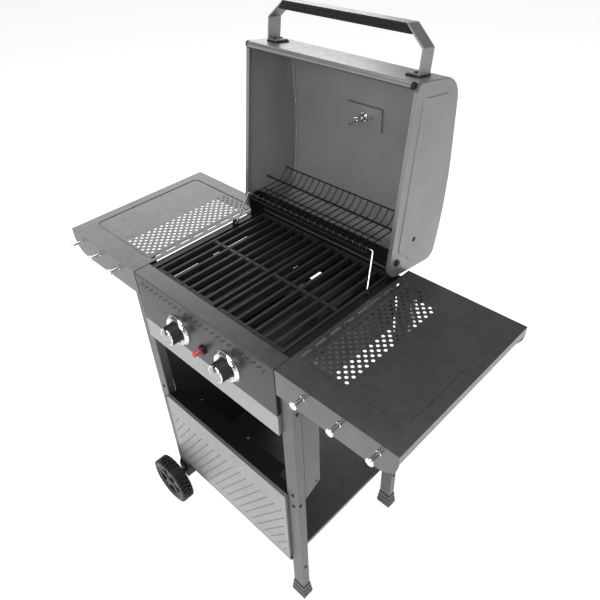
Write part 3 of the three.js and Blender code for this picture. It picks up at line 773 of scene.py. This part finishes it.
# ------------------------------------------------------------------ firebox and controls
def make_control_panel():
    """Panel with a band of small holes in slanting threes, every other three set lower."""
    piece = refined("control_panel", MATERIAL["panel"], 0.9)
    low, high = bounds_mm("control_panel")
    bm = bmesh.new()
    pitch, hole = 8.7, 1.6
    step_x, step_z, stagger = 2.7, 3.6, 5.4
    first = high.z - 12
    for group in range(-23, 24):
        for index in range(3):
            x = group * pitch - step_x * index
            z = first - step_z * index - (group % 2) * stagger
            outline = arc(x, z, hole, 0, 315, 7)
            add_prism(bm, outline, low.y - 2, low.y + 4, "y")
    # black enamel on the dots' cut walls is painted shade inside the holes
    pierced(piece, to_mesh("dots", bm), MATERIAL["enamel"])


def make_bezel(side):
    """Bright dished ring round a knob, over a black disc."""
    node = f"knob_bezel_{side}"
    low, high = bounds_mm(node)
    place = ((low.x + high.x) / 2, high.y, (low.z + high.z) / 2)
    profile = [
        (24.6, 0), (24.6, 2.4), (26, 3.4), (29, 6.4), (31, 8.2), (32.6, 8.3), (34.4, 6.6),
        (36, 3.4), (36.8, 1.6), (37.5, 1.2), (37.5, 0),
    ]
    mesh = turned("bezel", profile, place, (0, -1, 0), 72, closed=True)
    add_piece(node + "_finish", mesh, MATERIAL["chrome"], "cart", [node])
    disc = [(0, 0), (24.8, 0), (24.8, 0.6), (0, 0.6)]
    mesh = turned("recess", disc, place, (0, -1, 0), 48)
    add_piece(f"{node}_recess", mesh, MATERIAL["plastic"], "cart")


def fluted_ring(bm, radius, along, flutes, depth, segments):
    """Ring of vertices with shallow grooves round it."""
    ring_points = []
    for i in range(segments):
        angle = 2 * math.pi * i / segments
        groove = max(0.0, math.cos(angle * flutes)) ** 6 * depth
        reach = radius - groove
        point = (reach * math.cos(angle), reach * math.sin(angle), along)
        ring_points.append(bm.verts.new(point))
    return ring_points


def make_knob(side):
    """Fluted black body with a bright rimmed face and a pointer across its top."""
    node = f"knob_{side}"
    low, high = bounds_mm(node)
    place = Vector(((low.x + high.x) / 2, high.y, (low.z + high.z) / 2))
    length = high.y - low.y
    outer = (high.z - low.z) / 2
    body = body_of(node)
    bm = bmesh.new()
    stations = [(outer, 0, 0), (outer, 3, 0), (outer - 0.8, 4.5, 0.6), (outer - 1.2, length - 4, 1)]
    stations += [(outer - 1.8, length - 2.4, 0.4), (outer - 2.8, length - 1.8, 0)]
    rings = [fluted_ring(bm, r, a, 20, depth, 160) for r, a, depth in stations]
    for first, second in zip(rings, rings[1:]):
        bridge(bm, first, second)
    bm.faces.new(rings[0])
    bm.faces.new(rings[-1])
    placed(bm, place, (0, -1, 0))
    mesh = to_mesh("knob", bm, 40)
    add_piece(node + "_body", mesh, MATERIAL["plastic"], body, [node])
    rim = [
        (outer - 5.2, -2.4), (outer - 5.2, -0.6), (outer - 4.4, 0), (outer - 3.2, 0),
        (outer - 2, -1.2), (outer - 1.8, -2.4),
    ]
    front = place + Vector((0, -length, 0))
    mesh = turned("knob_rim", rim, front, (0, -1, 0), 64, closed=True)
    add_piece(node + "_rim", mesh, MATERIAL["chrome"], body)
    disc = [(0, -1.8), (outer - 5, -1.8), (outer - 5, -0.9), (0, -0.5)]
    mesh = turned("knob_face", disc, front, (0, -1, 0), 64)
    add_piece(node + "_face", mesh, MATERIAL["face"], body)
    x, z = place.x, place.z
    tip = z + outer - 1.6
    pointer = [(x - 3.6, z + 8), (x, z + 5), (x + 3.6, z + 8), (x + 3, tip), (x - 3, tip)]
    mesh = prism("pointer", pointer, low.y, low.y + 6, "y")
    bevelled(add_piece(node + "_pointer", mesh, MATERIAL["plastic"], body), 0.5)


def make_igniter():
    low, high = bounds_mm("igniter_body")
    button_low, button_high = bounds_mm("igniter_button")
    x, z = (low.x + high.x) / 2, (low.z + high.z) / 2
    length = high.y - low.y
    profile = [
        (0, 0), (8, 0), (8, 37), (11.2, 37.6), (11.2, length - 1.8), (10.6, length - 0.5),
        (9.6, length), (6.2, length), (6.2, length - 3), (0, length - 3),
    ]
    mesh = turned("igniter", profile, (x, high.y, z), (0, -1, 0), 36)
    add_piece("igniter_body_finish", mesh, MATERIAL["plastic"], "cart", ["igniter_body"])
    travel = button_high.y - button_low.y
    profile = [(0, 0), (5.2, 0), (5.2, travel - 2), (4.4, travel - 0.6), (3, travel), (0, travel)]
    mesh = turned("button", profile, (x, button_high.y, z), (0, -1, 0), 32)
    add_piece(
        "igniter_button_finish", mesh, MATERIAL["red"], body_of("igniter_button"), ["igniter_button"]
    )


def make_burner_ports(side):
    """Small flame ports in two rows along the top of a burner tube."""
    node = f"burner_{side}"
    low, high = bounds_mm(node)
    piece = refined(node, MATERIAL["stainless"])
    x, z = (low.x + high.x) / 2, (low.z + high.z) / 2
    ports, pitch, hole = 26, 10.5, 1.2
    bm = bmesh.new()
    for row in (-1, 1):
        for index in range(ports):
            y = low.y + 50 + index * pitch
            outline = [(y + u, z + 6 + v) for u, v in arc(0, 0, hole, 0, 300, 5)]
            start = x + row * 9
            add_prism(bm, outline, min(start, start + row * 8), max(start, start + row * 8), "x")
    pierced(piece, to_mesh("ports", bm))


def make_firebox():
    refined("firebox", MATERIAL["enamel"], 0.5, 2)
    wall = bounds_mm("firebox")[1].y - 2
    # a strip in the grey coat along the black enamel back wall: painted highlight for the bright line
    # along the wall's fold
    bead = [(wall, 846), (wall, 849.4), (wall - 1.4, 849.4), (wall - 2.4, 848.6), (wall - 2.4, 846)]
    add_piece("firebox_bead_highlight", prism("bead", bead, -206, 206, "x"), MATERIAL["frame"], "cart")
    refined("front_rail", MATERIAL["table"], 0.8)
    make_control_panel()
    make_igniter()
    refined("grease_tray", MATERIAL["silver"], 0.6)
    refined("gas_manifold", MATERIAL["chrome"])
    for side in SIDES:
        refined(f"grate_{side}", MATERIAL["iron"], 1.1, 2)
        refined(f"flame_tamer_{side}", MATERIAL["tamer"], 0.3)
        make_burner_ports(side)
        refined(f"gas_valve_{side}", MATERIAL["brass"], 0.8)
        refined(f"valve_stem_{side}", MATERIAL["chrome"])
        make_bezel(side)
        make_knob(side)
        refined(f"hinge_bolt_{side}", MATERIAL["plastic"], 0.4)


# ------------------------------------------------------------------ lid
# the closed lid seen from its hinge: where a lid end's flange lies and the line of the top
LID_END = (218.3, -361.3)
LID_SLOPE = math.atan(0.175)
PAN_MIDDLE = -3.8  # the gauge pan's middle under the lid's sheet
LID_TOP = ((-318, 117.8), (-195, 139.3), (-160, 143.8), (-125, 146.8), (-90, 148.4), (-50, 148.6))


def lid_turn():
    """Takes the closed lid's frame, about the hinge axis, to the open lid at rest."""
    low, high = bounds_mm("hinge_bolt_right")
    hinge = Vector((0, (low.y + high.y) / 2, (low.z + high.z) / 2))
    opened = next(j for j in frame["joints"] if j["name"] == "lid_hinge")["range_deg"][1]
    return Matrix.Translation(hinge) @ Matrix.Rotation(math.radians(-opened), 4, "X")


def lid_piece(name, mesh, material, replaces=()):
    """Adds a piece modelled in the closed lid's frame, in metres."""
    turn = lid_turn()
    turn.translation *= MM
    mesh.transform(turn)
    return add_piece(name, mesh, material, "lid", replaces)


def make_emboss(side, sign):
    """Raised field of a lid end, inset from its outline and open round the rack's pivot."""
    low, high = bounds_mm(f"lid_end_{side}")
    face = high.x if sign > 0 else low.x
    outline = [
        (-334, 8), (-334, 78), (-325, 85), (-300, 93), (-260, 99), (-229, 106), (-198, 111),
        (-171, 115.5), (-142, 118.8), (-74, 119.5), (0, 119), (8, 117), (14, 108), (16, 90),
        (15, 60), (10, 44), (-4, 34), (-14, 16), (-22, 3), (-31, -0.5), (-326, -0.5),
    ]
    start, end = sorted((face - sign * 0.6, face + sign * 1.4))
    mesh = prism("emboss", outline, start, end, "x")
    piece = lid_piece(f"lid_emboss_{side}", mesh, MATERIAL["lid"])
    bevelled(piece, 1.3, 3)
    y, z = frame_pivot("rack_pivot")
    pierced(piece, prism("opening", arc(y, z, 5.6, 0, 345, 23), start - 3, end + 3, "x"))
    cap = [(0, 0), (4.6, 0), (4.6, 1.6), (3.6, 2.6), (0, 2.8)]
    mesh = turned("pivot_cap", cap, (face, y, z), (sign, 0, 0), 24)
    add_piece(f"rack_pivot_cap_{side}", mesh, MATERIAL["plastic"], "rack")


def add_rivets(side, sign):
    """Rivets through the flange that a lid end turns in under the shell."""
    inner = LID_END[1] + 2.6
    places = [((inner, z), (1, 0)) for z in (12, 48)]
    places += [((y, lid_height(y) - 2.6), (0, -1)) for y in (-290, -215, -140, -65)]
    turn = lid_turn()
    for index, ((y, z), (out, up)) in enumerate(places):
        place = turn @ Vector((sign * LID_END[0], y, z))
        direction = turn.to_3x3() @ Vector((0, out, up))
        dome = [(0, 0), (2.3, 0), (2, 0.8), (1.1, 1.3), (0, 1.5)]
        mesh = turned("rivet", dome, place, direction, 16)
        add_piece(f"lid_rivet_{side}_{index + 1}", mesh, MATERIAL["chrome"], "lid")


def lid_height(y):
    """Height of the closed lid's sheet over its hinge at a distance from it."""
    for (y0, z0), (y1, z1) in zip(LID_TOP, LID_TOP[1:]):
        if y0 <= y <= y1:
            return z0 + (z1 - z0) * (y - y0) / (y1 - y0)
    raise ValueError(y)


def make_handle():
    refined("handle_bar", MATERIAL["lid"], 0.7)
    refined("handle_grip", MATERIAL["plastic"], 0.4)
    for side, sign in SIDES.items():
        make_handle_foot(side, sign)


def make_handle_foot(side, sign):
    """Black gasket between the handle's foot and the lid's front face, and two bolts."""
    edges = sorted((sign * 199, sign * 165))
    sheet = LID_END[1] - 0.9
    outline = rounded(edges[0], 10.6, edges[1], 52, 6)
    mesh = prism("gasket", outline, sheet - 2.7, sheet, "y")
    bevelled(lid_piece(f"handle_gasket_{side}", mesh, MATERIAL["plastic"]), 0.8)
    turn = lid_turn()
    outward = turn.to_3x3() @ Vector((0, -1, 0))
    places = [turn @ Vector((sign * 183, sheet - 5.7, z)) for z in (22, 41)]
    add_screws(f"handle_screw_{side}", places, outward, SCREW, "lid")


def plate_turn():
    """Takes the gauge's own upright frame to the sloping panel of the open lid."""
    low, high = bounds_mm("gauge_pan")
    turn = lid_turn() @ Matrix.Rotation(LID_SLOPE, 4, "X")
    turn.translation = (low + high) / 2 - turn.to_3x3() @ Vector((0, 0, PAN_MIDDLE))
    return turn


def plate_piece(name, mesh, material, replaces=()):
    turn = plate_turn()
    turn.translation *= MM
    mesh.transform(turn)
    return add_piece(name, mesh, material, "lid", replaces)


def make_gauge():
    """Thermometer: a dial in the recess outside, a stem and wing nut inside."""
    # the pan inside the lid takes the painted-shade copy of the lid's grey coat
    pan = refined("gauge_pan", MATERIAL["inside_shade"], 0.8, 2)
    bm = bmesh.new()
    add_prism(bm, arc(22, 0, 2, 0, 330, 11), -12, 4, "z")
    bm.transform(plate_turn())
    pierced(pan, to_mesh("hole", bm))
    up = (0, 0, 1)
    floor = -4.4
    case = [
        (0, floor), (22, floor), (22.5, floor + 1), (22.5, floor + 11), (21.5, floor + 12.6),
        (20.4, floor + 12.6), (20, floor + 10.4), (0, floor + 10.4),
    ]
    mesh = turned("case", case, (0, 0, 0), up, 64)
    plate_piece("thermometer_case", mesh, MATERIAL["chrome"], ["thermometer"])
    face = [(0, floor + 10.2), (20.2, floor + 10.2), (20.2, floor + 10.8), (0, floor + 10.8)]
    mesh = turned("face", face, (0, 0, 0), up, 64)
    plate_piece("thermometer_face", mesh, MATERIAL["white"])
    make_dial_marks(floor + 10.7)
    stem = [
        (0, -64.6), (1.2, -64.2), (2.2, -61), (2.5, -34), (4.2, -32.6), (4.8, -31), (4.8, floor),
        (0, floor),
    ]
    mesh = turned("stem", stem, (0, 0, 0), up, 24)
    plate_piece("thermometer_stem", mesh, MATERIAL["chrome"])
    make_wing_nut()


def make_dial_marks(height):
    """Plain graduations and a needle, without figures."""
    bm = bmesh.new()
    marks, start, sweep = 25, 225, 270
    for index in range(marks):
        angle = math.radians(start - index * sweep / (marks - 1))
        long_mark = index % 4 == 0
        inner, half = (14, 0.5) if long_mark else (16.4, 0.25)
        along = Vector((math.cos(angle), math.sin(angle)))
        across = Vector((-along.y, along.x)) * half
        ends = (along * inner - across, along * 18.6 - across)
        ends += (along * 18.6 + across, along * inner + across)
        add_prism(bm, [tuple(p) for p in ends], height, height + 0.15, "z")
    needle = [(-1.2, -4), (1.2, -4), (0.3, 14), (-0.3, 14)]
    turn = Matrix.Rotation(math.radians(118), 2)
    add_prism(bm, [tuple(turn @ Vector(p)) for p in needle], height + 0.3, height + 0.7, "z")
    plate_piece("thermometer_marks", to_mesh("marks", bm), MATERIAL["plastic"])


def make_wing_nut():
    """Round nut with a washer against the pan, a hub and a wing nut's two curved blades."""
    washer = [(4.9, -6.9), (10, -6.9), (10, -8.1), (8.6, -8.2), (8.6, -11.6), (7.8, -12.4), (4.9, -12.4)]
    mesh = turned("washer", washer, (0, 0, 0), (0, 0, 1), 36, closed=True)
    plate_piece("wing_washer", mesh, MATERIAL["chrome"], ["wing_nut"])
    hub = [(4.9, -12.5), (7.8, -12.5), (7, -17.4), (6.2, -19.4), (4.9, -19.4)]
    mesh = turned("hub", hub, (0, 0, 0), (0, 0, 1), 36, closed=True)
    plate_piece("wing_hub", mesh, MATERIAL["chrome"])
    for side, sign in SIDES.items():
        blade = [
            (5.6, -12.6), (9, -13), (13.6, -15.8), (17, -19.6), (17, -22.6), (14.8, -23.6),
            (11.4, -21.6), (8, -19), (5.8, -18.6),
        ]
        outline = [(sign * u, v) for u, v in blade]
        mesh = prism("blade", outline, -1.3, 1.3, "y")
        bevelled(plate_piece(f"wing_blade_{side}", mesh, MATERIAL["chrome"]), 0.5)


def make_lip():
    """Rolled edge with a black plug in each end."""
    low, high = bounds_mm("lid_lip")
    radius = (high.z - low.z) / 2
    plug = 5.5
    middle = (low + high) / 2
    length = high.x - low.x - 2 * plug
    roll = [(0, 0), (radius - 0.4, 0), (radius - 0.4, length), (0, length)]
    mesh = turned("lip", roll, (low.x + plug, middle.y, middle.z), (1, 0, 0), 32)
    add_piece("lid_lip_finish", mesh, MATERIAL["lid"], "lid", ["lid_lip"])
    profile = [(0, 0), (radius, 0), (radius, plug - 1.6), (radius - 1.6, plug), (0, plug)]
    for side, sign in SIDES.items():
        place = (sign * (length / 2), middle.y, middle.z)
        mesh = turned("plug", profile, place, (sign, 0, 0), 32)
        add_piece(f"lid_lip_plug_{side}", mesh, MATERIAL["plastic"], "lid")


def shade_inside(piece):
    """Gives the faces that look into the lid's hollow a darker, duller copy of the lid's grey coat:
    painted shade inside the hollow.
    """
    low, high = bounds_mm("lid_shell")
    middle = Vector((0, (low.y + high.y) / 2, (low.z + high.z) / 2)) * MM
    piece.data.materials.append(MATERIAL["inside_shade"])
    for face in piece.data.polygons:
        if face.normal.dot(middle - face.center) > INWARD:
            face.material_index = 1


def make_lid():
    shade_inside(refined("lid_shell", MATERIAL["lid"], 0.3))
    make_lip()
    make_handle()
    make_gauge()
    for side, sign in SIDES.items():
        shade_inside(refined(f"lid_end_{side}", MATERIAL["lid"], 0.3))
        make_emboss(side, sign)
        add_rivets(side, sign)


# ------------------------------------------------------------------ warming rack
def make_rack():
    """Round wires bent down at the front and up into a fence at the back."""
    low, high = bounds_mm("warming_rack")
    arm_high = bounds_mm("swing_arm_right")[1]
    half = 178.0
    front = arm_high.y - 2
    bed = arm_high.z + 1
    pivot = low.x
    rear = high.y
    top = high.z - 3
    bm = bmesh.new()
    rear_bend = rear - 24
    wires, edge = 20, 3
    for index in range(wires):
        x = -half + edge + index * (2 * half - 2 * edge) / (wires - 1)
        points = [
            (x, front - 3, bed - 12), (x, front - 3, bed), (x, rear_bend - 8, bed),
            (x, rear_bend + 2, bed + 4), (x, rear - 8, top - 6), (x, rear - 3, top),
        ]
        add_tube(bm, filleted(points, 6), 1.35, 8)
    middle = (front + rear_bend) / 2 - 8
    bars = [
        (front, bed - 3, 2, 12),
        (front - 3, bed - 12, 1.6, 10),
        (middle, bed - 3, 1.6, 12),
        (rear - 3, top + 1, 1.8, 12),
    ]
    for y, z, radius, sides in bars:
        add_tube(bm, [Vector((-half, y, z)), Vector((half, y, z))], radius, sides)
    axis = frame_pivot("rack_pivot")
    add_tube(bm, [Vector((pivot, *axis)), Vector((-pivot, *axis))], 2.3, 12)
    mesh = to_mesh("rack", bm, 50)
    add_piece("warming_rack_finish", mesh, MATERIAL["wire"], "rack", ["warming_rack"])
    for side, sign in SIDES.items():
        make_arm(side, sign)


def frame_pivot(name):
    """(y, z) of a joint's axis."""
    joint = next(j for j in frame["joints"] if j["name"] == name)
    return [value / MM for value in joint["pos_m"][1:]]


def make_arm(side, sign):
    node = f"swing_arm_{side}"
    low, high = bounds_mm(node)
    outer, inner = (high.x, low.x) if sign > 0 else (low.x, high.x)
    foot = frame_pivot(f"arm_pivot_{side}")
    top = (high.y - 2, high.z - 2)
    points = [
        (outer, *foot), (sign * 206.5, *foot), (sign * 190, *top), (inner, *top),
    ]
    mesh = tube("arm", points, 1.8, 4, 14)
    add_piece(f"{node}_finish", mesh, MATERIAL["chrome"], body_of(node), [node])


make_camera()
make_studio()
MATERIAL = make_materials()
SCREW = make_screw_mesh(4.2, MATERIAL["plastic"])
BRIGHT_SCREW = make_screw_mesh(3, MATERIAL["chrome"])
make_cart()
for table_side, table_sign in SIDES.items():
    make_table(table_side, table_sign)
make_firebox()
make_lid()
make_rack()
